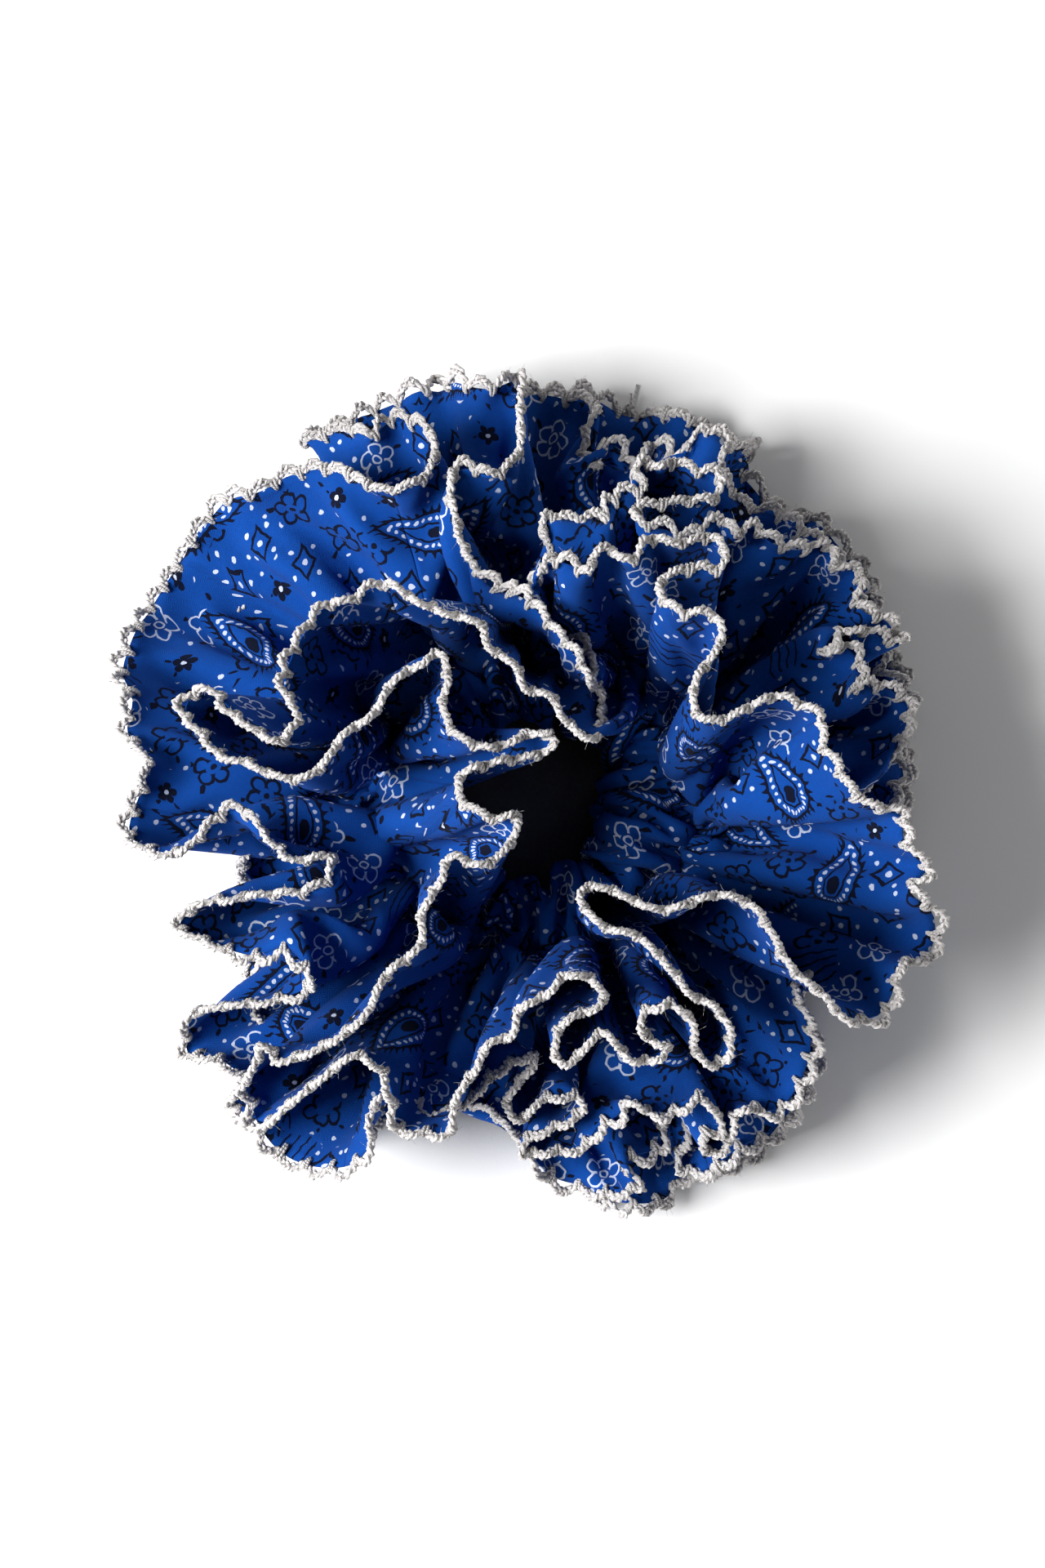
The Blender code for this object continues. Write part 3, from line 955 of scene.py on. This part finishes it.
def noise(tree, attribute, scale, detail=2.0):
    node = tree.nodes.new("ShaderNodeTexNoise")
    node.inputs["Scale"].default_value = scale
    node.inputs["Detail"].default_value = detail
    tree.links.new(attribute.outputs["Vector"], node.inputs["Vector"])
    return Term(tree, node.outputs["Fac"])


def mix(tree, share, first, second):
    node = tree.nodes.new("ShaderNodeMix")
    node.data_type = "RGBA"
    plug(tree, share, node.inputs["Factor"])
    for value, slot in ((first, node.inputs["A"]), (second, node.inputs["B"])):
        if isinstance(value, tuple):
            slot.default_value = (*value, 1)
        else:
            tree.links.new(value, slot)
    return node.outputs["Result"]


def bump(tree, shader, height, distance, strength=1.0):
    node = tree.nodes.new("ShaderNodeBump")
    node.inputs["Distance"].default_value = distance
    node.inputs["Strength"].default_value = strength
    tree.links.new(height.socket, node.inputs["Height"])
    tree.links.new(node.outputs["Normal"], shader.inputs["Normal"])


WEAVE = 0.42
TWIST = 0.85


def cotton_material():
    material, tree, shader, attribute, x, y = new_material("printed cotton", 0.9, 0.02)
    drawn = noise(tree, attribute, 0.55, 1.0)
    x, y = x + (drawn - 0.5) * 0.9, y + (noise(tree, attribute, 0.47, 1.0) - 0.5) * 0.9
    big_white, big_black, big_room = paisley(x, y)
    small_white, small_black, small_room = motifs(x, y)
    white_dots, black_dots = scattered_dots(x, y)
    clear = 1 - big_room
    white = most(big_white, small_white * clear, white_dots * clear * (1 - small_room))
    black = most(big_black, small_black * clear, black_dots * clear * (1 - small_room))
    warp, weft = ((place * (math.tau / WEAVE)).math("SINE") for place in (x, y))
    weave = warp * weft
    faded = noise(tree, attribute, 0.05, 4.0)
    slubs = noise(tree, attribute, 1.6, 3.0)
    blue = mix(tree, faded, (0.0016, 0.038, 0.225), (0.0030, 0.052, 0.285))
    blue = mix(tree, (weave * 0.14 + slubs * 0.26 - 0.02).math("MAXIMUM", 0), blue, (0.010, 0.100, 0.41))
    inked = mix(tree, black * 0.97, blue, (0.0025, 0.003, 0.008))
    inked = mix(tree, white * 0.86, inked, (0.56, 0.62, 0.76))
    tree.links.new(inked, shader.inputs["Base Color"])
    bump(tree, shader, weave + slubs * 1.5, 0.00005)
    return material


def yarn_material(name="crochet yarn", colour=(0.62, 0.595, 0.585), shade=(0.38, 0.362, 0.357)):
    material, tree, shader, attribute, run, turn = new_material(name, 0.95, 0.12)
    ply = ((run / TWIST + turn) * math.tau).math("SINE")
    strand = ((run / TWIST + turn) * (3 * math.tau)).math("SINE")
    hairs = noise(tree, attribute, 6.0, 4.0)
    # Painted shade: this mask blends the yarn's colour towards the darker shade colour in the ply's grooves;
    # its hairs noise adds random tone.
    shadow = (ply * -0.35 + 0.35 + (hairs - 0.5) * 0.6).math("MAXIMUM", 0).math("MINIMUM", 1)
    tree.links.new(mix(tree, shadow, colour, shade), shader.inputs["Base Color"])
    bump(tree, shader, ply * 0.6 + strand * 0.15 + hairs * 0.5, 0.0002)
    return material


def elastic_material():
    material, tree, shader, attribute, run, turn = new_material("knitted elastic", 0.8, 0.15)
    rib = (turn * math.tau).math("SINE")
    knit = (run * (math.tau / 0.6)).math("SINE") * rib
    # Painted shade: the knit pattern darkens the elastic's grey in the grooves between its ribs.
    shadow = knit * 0.4 + 0.4
    tree.links.new(mix(tree, shadow, (0.82, 0.82, 0.82), (0.55, 0.55, 0.56)), shader.inputs["Base Color"])
    bump(tree, shader, knit, 0.0002)
    return material


# ---- Stage ----


PAPER = 0.88, 0.88, 0.88
# Painted shade: the dark paper colour put where the object closes the floor in.
PAINTED_SHADE_PAPER = 0.06, 0.052, 0.048
WHITE = 1, 1, 1, 1


def split_vector(tree, socket):
    node = tree.nodes.new("ShaderNodeSeparateXYZ")
    tree.links.new(socket, node.inputs[0])
    return [Term(tree, part) for part in node.outputs]


def build_floor():
    """Pale paper with painted shade where the object closes it in, and a painted glow further out that fades
    it into the white surround.
    """
    bpy.ops.mesh.primitive_plane_add(size=6, location=(0, 0, FLOOR * MM))
    floor = bpy.context.object
    floor.name = "floor"
    paper = bpy.data.materials.new("paper")
    paper.use_nodes = True
    tree = paper.node_tree
    shader = tree.nodes["Principled BSDF"]
    shader.inputs["Roughness"].default_value = 0.95
    shader.inputs["Specular IOR Level"].default_value = 0.0
    # Painted shade: ambient occlusion darkens the paper's colour where the object closes it in, such as in
    # the ring's hole.
    closed_in = tree.nodes.new("ShaderNodeAmbientOcclusion")
    closed_in.inputs["Distance"].default_value = 0.12
    open_share = Term(tree, closed_in.outputs["AO"]).above(0.25, 0.3)
    tree.links.new(mix(tree, open_share, PAINTED_SHADE_PAPER, PAPER), shader.inputs["Base Color"])
    # Painted glow: the paper gives off white light that grows with distance from the middle, so the far floor
    # reads as plain white.
    x, y, _ = split_vector(tree, tree.nodes.new("ShaderNodeNewGeometry").outputs["Position"])
    shader.inputs["Emission Color"].default_value = WHITE
    tree.links.new(far(x, y).above(0.9, 0.8).socket, shader.inputs["Emission Strength"])
    floor.data.materials.append(paper)


def build_surround():
    """A soft glow, brightest at the horizon, that the camera sees as plain white."""
    world = bpy.data.worlds.new("studio")
    bpy.context.scene.world = world
    world.use_nodes = True
    tree = world.node_tree
    background = tree.nodes["Background"]
    _, _, height = split_vector(tree, tree.nodes.new("ShaderNodeTexCoord").outputs["Generated"])
    glow = (1 - height.math("MAXIMUM", 0.0)).math("POWER", 1.4) * 1.35
    glow = most(glow, Term(tree, tree.nodes.new("ShaderNodeLightPath").outputs["Is Camera Ray"]))
    background.inputs["Color"].default_value = WHITE
    tree.links.new(glow.socket, background.inputs["Strength"])


def add_lamp(name, place, size, power):
    light = bpy.data.lights.new(name, "AREA")
    light.energy, light.size = power, size
    lamp = bpy.data.objects.new(name, light)
    lamp.location = place
    lamp.rotation_euler = (Vector((0, 0, 0.03)) - lamp.location).to_track_quat("-Z", "Y").to_euler()
    bpy.context.scene.collection.objects.link(lamp)


def build_camera():
    elevation, distance, seen_width = math.radians(80), 0.9, 0.33
    aim = Vector((-0.0026, 0.0008, 0.035))
    back = Vector((0, -math.cos(elevation), math.sin(elevation)))
    data = bpy.data.cameras.new("camera")
    data.sensor_width = 36
    data.lens = data.sensor_width * distance / seen_width
    camera = bpy.data.objects.new("camera", data)
    camera.location = aim + back * distance
    camera.rotation_euler = (-back).to_track_quat("-Z", "Y").to_euler()
    bpy.context.scene.collection.objects.link(camera)
    bpy.context.scene.camera = camera
    bpy.context.scene.view_settings.view_transform = "Standard"


def main():
    random = np.random.default_rng(SEED)
    gathers = Gathers(random)
    cotton, yarn, elastic = cotton_material(), yarn_material(), elastic_material()
    thread = yarn_material("blue thread", (0.012, 0.05, 0.22), (0.006, 0.025, 0.12))
    strips = {
        "outer": {"frills": ("top", "bottom"), "channel": (8.0, 6.6), "puffed": 1.0},
        "inner": {"frills": ("upper_middle", "lower_middle"), "channel": (5.9, 4.2), "puffed": 0.0},
    }
    for order, (strip, parts) in enumerate(strips.items()):
        patches = new_patches()
        for turn, name in enumerate(parts["frills"]):
            sheet, angles = frill_sheet(FRILLS[name], gathers, random)
            add_sheet(patches, sheet, angles, COLUMN, 410.0 * order + 137.0 * turn)
            chains = new_patches()
            add_chain(chains, sheet, angles, random)
            if name == "bottom":
                add_tails(chains, *edge_frame(sheet, angles), random)
            show_ring(f"{name}_yarn", chains, yarn, f"{name}_edging")
        channel, angles = channel_sheet(parts["channel"], gathers, parts["puffed"])
        add_sheet(patches, channel, angles, CHANNEL_COLUMN, side=-1)
        if strip == "outer":
            build_closing(thread, channel)
        show_ring(f"{strip}_cotton", patches, cotton, f"{strip}_strip", CLOTH)
    build_elastic(elastic)
    build_join(elastic, thread)
    build_row(thread)
    build_floor()
    build_surround()
    add_lamp("window", (-1.02, -0.25, 0.98), 0.75, 42)
    build_camera()


main()
bpy.context.view_layer.update()
